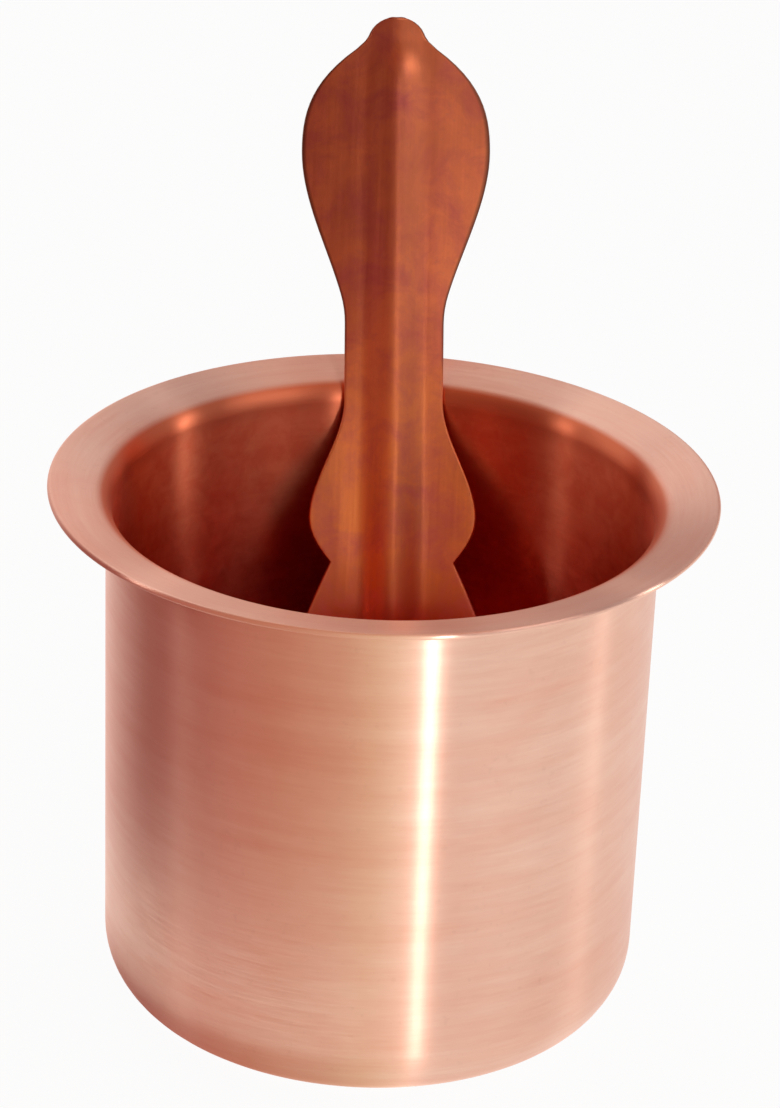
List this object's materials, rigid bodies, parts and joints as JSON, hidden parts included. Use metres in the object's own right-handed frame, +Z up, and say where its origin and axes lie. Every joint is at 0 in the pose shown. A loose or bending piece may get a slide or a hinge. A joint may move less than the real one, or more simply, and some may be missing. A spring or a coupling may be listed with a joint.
{
  "type": "panchpatra",
  "caption": "Straight-sided copper ritual water cup with a broad flared lip, and a loose hooded copper spoon leaning in it.",
  "frame": {"origin": "middle of the cup's flat base, on the surface that it stands on", "axes": "+Z up along the cup's axis, -Y the front, +Y the side that the spoon leans back to, +X the right seen from the front"},
  "size_m": [0.088, 0.1002, 0.1191],
  "materials": {
    "cup_copper": "satin, brushed around the axis",
    "spoon_copper": "satin, pressed sheet"
  },
  "bodies": {
    "cup": {"cup": "cup_copper"},
    "spoon": {"spoon": "spoon_copper"}
  },
  "joints": [
    {"name": "spoon_lift", "type": "slide", "parent": "cup", "child": "spoon", "axis": [0, 0, 1], "range_m": [0, 0.085]}
  ]
}
